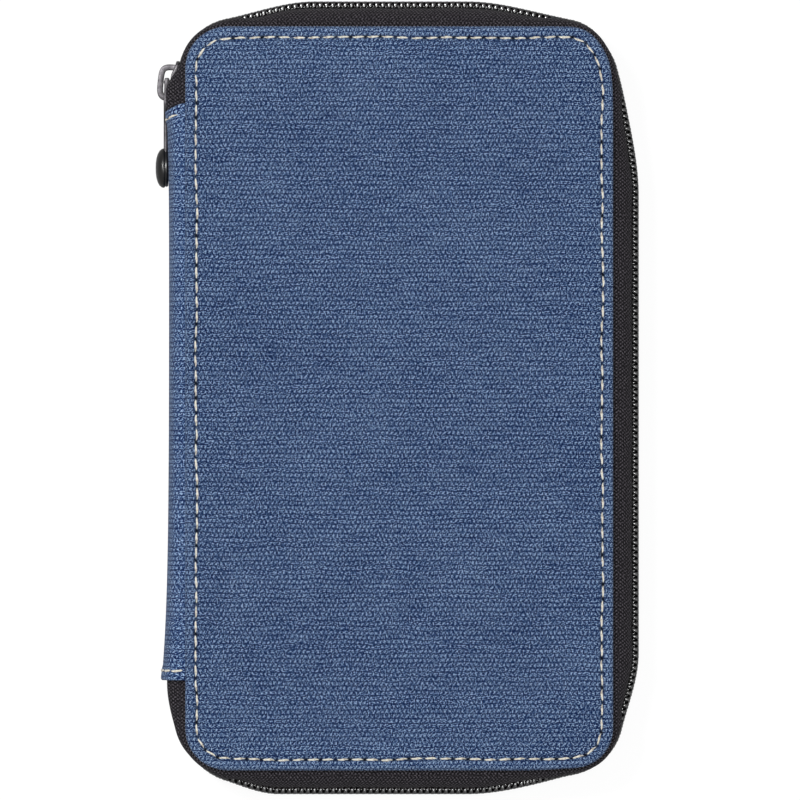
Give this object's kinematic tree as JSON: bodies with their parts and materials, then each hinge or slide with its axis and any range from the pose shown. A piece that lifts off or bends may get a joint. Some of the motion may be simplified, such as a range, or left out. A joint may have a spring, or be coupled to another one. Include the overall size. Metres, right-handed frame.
{
  "type": "travel document organizer",
  "caption": "Zip-around travel document case: two stiffened canvas covers on a canvas spine, closed by a coil zipper, with a passport pocket, sleeves, card slots and a pen loop inside.",
  "frame": {"origin": "centre of the back cover's outer face, which the closed case lies on", "axes": "+X from the spine to the long zipper side, +Y to the top end where the slider parks, +Z through the thickness from the back cover to the front cover"},
  "size_m": [0.1218, 0.1983, 0.024],
  "materials": {
    "canvas": "coarse plain-weave canvas, matte",
    "board": "grey board",
    "lining": "fine woven lining",
    "pocket_cloth": "ripstop pocket cloth",
    "zipper_tape": "diagonally ribbed tape",
    "coil_nylon": "glossy nylon monofilament",
    "thread": "twisted sewing thread",
    "elastic": "knitted elastic",
    "gunmetal": "gunmetal plating, slightly worn",
    "grip_plastic": "glossy moulded black"
  },
  "bodies": {
    "back_cover": {"back_canvas": "canvas", "back_board": "board", "back_lining": "lining", "back_stitching": "thread", "back_zipper_tape": "zipper_tape", "back_zipper_coil": "coil_nylon", "document_pocket": "pocket_cloth", "passport_pocket": "pocket_cloth", "pen_loop": "elastic"},
    "spine": {"spine_canvas": "canvas", "spine_lining": "lining", "top_hem_stitching": "thread", "bottom_hem_stitching": "thread", "back_tape_top_end": "zipper_tape", "front_tape_top_end": "zipper_tape", "back_tape_bottom_end": "zipper_tape", "front_tape_bottom_end": "zipper_tape", "back_coil_top_end": "coil_nylon", "front_coil_top_end": "coil_nylon", "back_coil_bottom_end": "coil_nylon", "front_coil_bottom_end": "coil_nylon"},
    "front_cover": {"front_canvas": "canvas", "front_board": "board", "front_lining": "lining", "front_stitching": "thread", "front_zipper_tape": "zipper_tape", "front_zipper_coil": "coil_nylon", "ticket_sleeve": "pocket_cloth", "card_slot_upper": "pocket_cloth", "card_slot_middle": "pocket_cloth", "card_slot_lower": "pocket_cloth"},
    "slider": {"slider_body": "gunmetal", "slider_bail": "gunmetal"},
    "puller": {"puller_link": "gunmetal", "puller_grip": "grip_plastic"}
  },
  "joints": [
    {"name": "spine_fold", "type": "hinge", "parent": "back_cover", "child": "spine", "pos_m": [-0.0538, 0, 0.00135], "axis": [0, -1, 0], "range_deg": [0, 90]},
    {"name": "front_cover_fold", "type": "hinge", "parent": "spine", "child": "front_cover", "pos_m": [-0.0538, 0, 0.02265], "axis": [0, -1, 0], "range_deg": [0, 90]},
    {"name": "slider_travel", "type": "hinge", "parent": "spine", "child": "slider", "pos_m": [-0.0378, 0.0783, 0.012], "axis": [0, 0, 1], "range_deg": [-78, 0]},
    {"name": "puller_swing", "type": "hinge", "parent": "slider", "child": "puller", "pos_m": [-0.05863, 0.07914, 0.012], "axis": [0, 0, -1], "range_deg": [0, 160]}
  ],
  "couplings": [
    {"joint": "front_cover_fold", "follows": "spine_fold", "ratio": 1}
  ]
}
